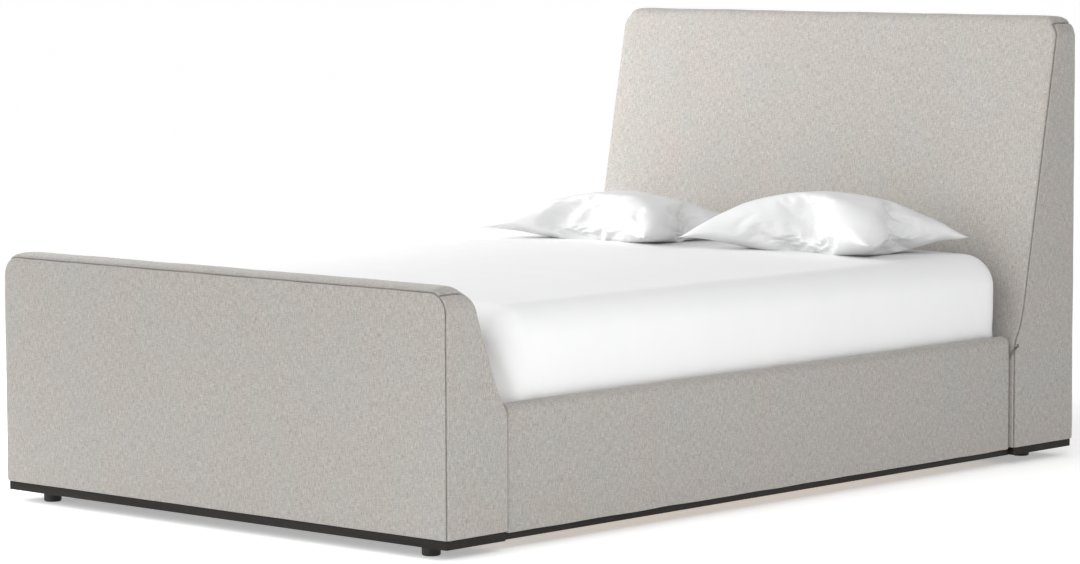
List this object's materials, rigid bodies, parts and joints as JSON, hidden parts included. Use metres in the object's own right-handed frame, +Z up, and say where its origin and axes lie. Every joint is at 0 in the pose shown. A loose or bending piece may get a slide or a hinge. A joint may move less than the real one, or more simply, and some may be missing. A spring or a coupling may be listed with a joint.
{
  "type": "upholstered sleigh bed",
  "caption": "Fabric-covered sleigh bed with a low padded footboard, a tall leaning headboard, padded side rails, slats, mattress, fitted sheet and pillows.",
  "frame": {"origin": "on the floor under the middle of the bed", "axes": "+X across the bed to the right seen from its foot, +Y along the bed towards the headboard, +Z up"},
  "size_m": [1.63, 2.592, 1.25],
  "materials": {
    "upholstery": "oatmeal grey linen-look weave with fine light and dark slubs",
    "plywood": "bare birch plywood",
    "pine": "planed unfinished pine",
    "black_wood": "dark brown-black stained wood, satin",
    "black_plastic": "black moulded plastic",
    "steel": "zinc plated",
    "ticking": "quilted off-white mattress ticking",
    "sheet": "smooth white cotton percale",
    "pillowcase": "smooth white cotton percale, slightly creased"
  },
  "bodies": {
    "bed_frame": {"footboard_outer_cover": "upholstery", "footboard_inner_cover": "upholstery", "footboard_side_cover_left": "upholstery", "footboard_side_cover_right": "upholstery", "headboard_outer_cover": "upholstery", "headboard_inner_cover": "upholstery", "headboard_side_cover_left": "upholstery", "headboard_side_cover_right": "upholstery", "rail_cover_left": "upholstery", "rail_cover_right": "upholstery", "footboard_outer_board": "plywood", "footboard_lower_board": "plywood", "footboard_leaning_board": "plywood", "footboard_rib_left": "plywood", "footboard_rib_right": "plywood", "headboard_outer_board": "plywood", "headboard_lower_board": "plywood", "headboard_leaning_board": "plywood", "headboard_rib_left": "plywood", "headboard_rib_right": "plywood", "rail_board_left": "plywood", "rail_board_right": "plywood", "cleat_left": "pine", "cleat_right": "pine", "centre_beam": "pine", "centre_leg_front": "pine", "centre_leg_back": "pine", "slat_01": "pine", "slat_02": "pine", "slat_03": "pine", "slat_04": "pine", "slat_05": "pine", "slat_06": "pine", "slat_07": "pine", "slat_08": "pine", "slat_09": "pine", "slat_10": "pine", "slat_11": "pine", "footboard_plinth": "black_wood", "headboard_plinth": "black_wood", "rail_plinth_left": "black_wood", "rail_plinth_right": "black_wood", "foot_front_left": "black_plastic", "foot_front_right": "black_plastic", "foot_back_left": "black_plastic", "foot_back_right": "black_plastic", "corner_front_left_bracket": "steel", "corner_front_left_bolt": "steel", "corner_front_right_bracket": "steel", "corner_front_right_bolt": "steel", "corner_back_left_bracket": "steel", "corner_back_left_bolt": "steel", "corner_back_right_bracket": "steel", "corner_back_right_bolt": "steel"},
    "made_mattress": {"mattress": "ticking", "fitted_sheet": "sheet"},
    "left_pillow": {"pillow_left": "pillowcase"},
    "right_pillow": {"pillow_right": "pillowcase"},
    "front_glide": {"levelling_glide_front": "black_plastic"},
    "back_glide": {"levelling_glide_back": "black_plastic"}
  },
  "joints": [
    {"name": "mattress_lift", "type": "slide", "parent": "bed_frame", "child": "made_mattress", "axis": [0, 0, 1], "range_m": [0, 0.45]},
    {"name": "pillow_left_lift", "type": "slide", "parent": "made_mattress", "child": "left_pillow", "axis": [0, 0, 1], "range_m": [0, 0.3]},
    {"name": "pillow_right_lift", "type": "slide", "parent": "made_mattress", "child": "right_pillow", "axis": [0, 0, 1], "range_m": [0, 0.3]},
    {"name": "glide_front_screw", "type": "slide", "parent": "bed_frame", "child": "front_glide", "axis": [0, 0, 1], "range_m": [0, 0.012]},
    {"name": "glide_back_screw", "type": "slide", "parent": "bed_frame", "child": "back_glide", "axis": [0, 0, 1], "range_m": [0, 0.012]}
  ]
}
